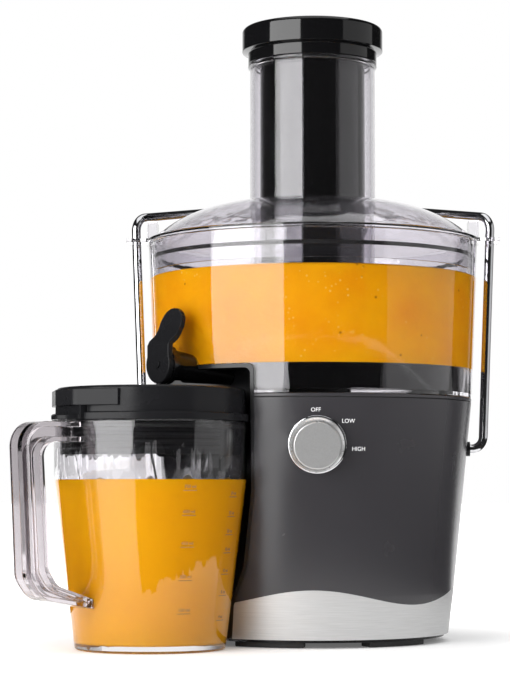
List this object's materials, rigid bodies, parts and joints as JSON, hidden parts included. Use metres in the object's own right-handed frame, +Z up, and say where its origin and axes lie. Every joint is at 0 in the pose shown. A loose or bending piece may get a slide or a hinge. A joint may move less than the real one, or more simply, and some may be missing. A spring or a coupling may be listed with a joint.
{
  "type": "centrifugal juicer",
  "caption": "Centrifugal juicer: round base with side bay for a lidded jug, clear pulp bowl, domed lid with wide feed chute and pusher, wire bail latch.",
  "frame": {"origin": "on the table, at the centre of the whole footprint, jug included", "axes": "+X to the viewer's right facing the dial, +Y to the back, +Z up"},
  "size_m": [0.3038, 0.2723, 0.4074],
  "materials": {
    "grey_body": "satin dark grey moulded plastic",
    "black_gloss": "gloss black",
    "black_satin": "satin black",
    "silver_band": "fine brushed satin",
    "dial_silver": "satin silver with a bright rim",
    "chrome": "polished",
    "clear_plastic": "clear, slightly smoky",
    "dark_rubber": "matte",
    "steel": "brushed",
    "lamination": "stacked laminations",
    "copper": "enamelled wire",
    "carbon": "pressed carbon",
    "board_green": "circuit board",
    "inner_plastic": "natural moulded plastic"
  },
  "bodies": {
    "root": {"foot_front_right": "dark_rubber", "foot_front_left": "dark_rubber", "foot_rear_right": "dark_rubber", "foot_rear_left": "dark_rubber", "base_plate": "black_satin", "base_screws": "steel", "base_band": "silver_band", "base_housing": "grey_body", "top_deck": "grey_body", "deck_gasket": "dark_rubber", "shaft_seal": "dark_rubber", "jug_bay_panel": "black_gloss", "dial_bezel": "black_satin", "speed_switch": "inner_plastic", "control_board": "board_green", "pivot_bush_left": "black_satin", "pivot_bush_right": "black_satin", "cord_gland": "dark_rubber", "interlock_switch": "inner_plastic", "motor_stator": "lamination", "stator_windings": "copper", "motor_bracket_lower": "steel", "motor_bracket_upper": "steel", "lower_bearing": "steel", "upper_bearing": "steel", "motor_mounts": "dark_rubber", "carbon_brushes": "carbon", "brush_holders": "copper", "pulp_bowl": "clear_plastic", "juice_collector": "black_gloss", "feed_lid": "clear_plastic", "feed_chute": "clear_plastic", "lid_seal": "dark_rubber"},
    "dial": {"control_dial": "dial_silver"},
    "rotor": {"motor_shaft": "steel", "motor_armature": "lamination", "commutator": "copper", "cooling_fan": "inner_plastic", "drive_coupling": "black_satin", "sieve_basket": "steel", "sieve_hub": "inner_plastic", "grater_blade": "steel", "blade_nut": "steel"},
    "pusher": {"pusher_body": "black_gloss", "pusher_cap": "black_gloss"},
    "bail": {"bail_rod": "chrome"},
    "jug": {"jug_body": "clear_plastic", "jug_handle": "clear_plastic", "jug_lid": "black_satin", "jug_lid_seal": "dark_rubber", "froth_separator": "clear_plastic"},
    "lever": {"spout_lever": "black_satin", "lever_screw": "steel"}
  },
  "joints": [
    {"name": "dial_turn", "type": "hinge", "parent": "root", "child": "dial", "pos_m": [0.0322, -0.07561, 0.126], "axis": [0, 0.9949, 0.1009], "range_deg": [0, 95]},
    {"name": "rotor_spin", "type": "hinge", "parent": "root", "child": "rotor", "pos_m": [0.0297, 0.0259, 0.1], "axis": [0, 0, 1], "continuous": true},
    {"name": "pusher_slide", "type": "slide", "parent": "root", "child": "pusher", "axis": [0, 0, 1], "range_m": [0, 0.12]},
    {"name": "bail_swing", "type": "hinge", "parent": "root", "child": "bail", "pos_m": [0.0297, 0.0259, 0.125], "axis": [-1, 0, 0], "range_deg": [0, 100]},
    {"name": "jug_slide", "type": "slide", "parent": "root", "child": "jug", "axis": [-0.749, -0.6626, 0], "range_m": [0, 0.15]},
    {"name": "lever_turn", "type": "hinge", "parent": "root", "child": "lever", "pos_m": [-0.06459, -0.05752, 0.1765], "axis": [0.749, 0.6626, 0], "range_deg": [0, 90]}
  ]
}
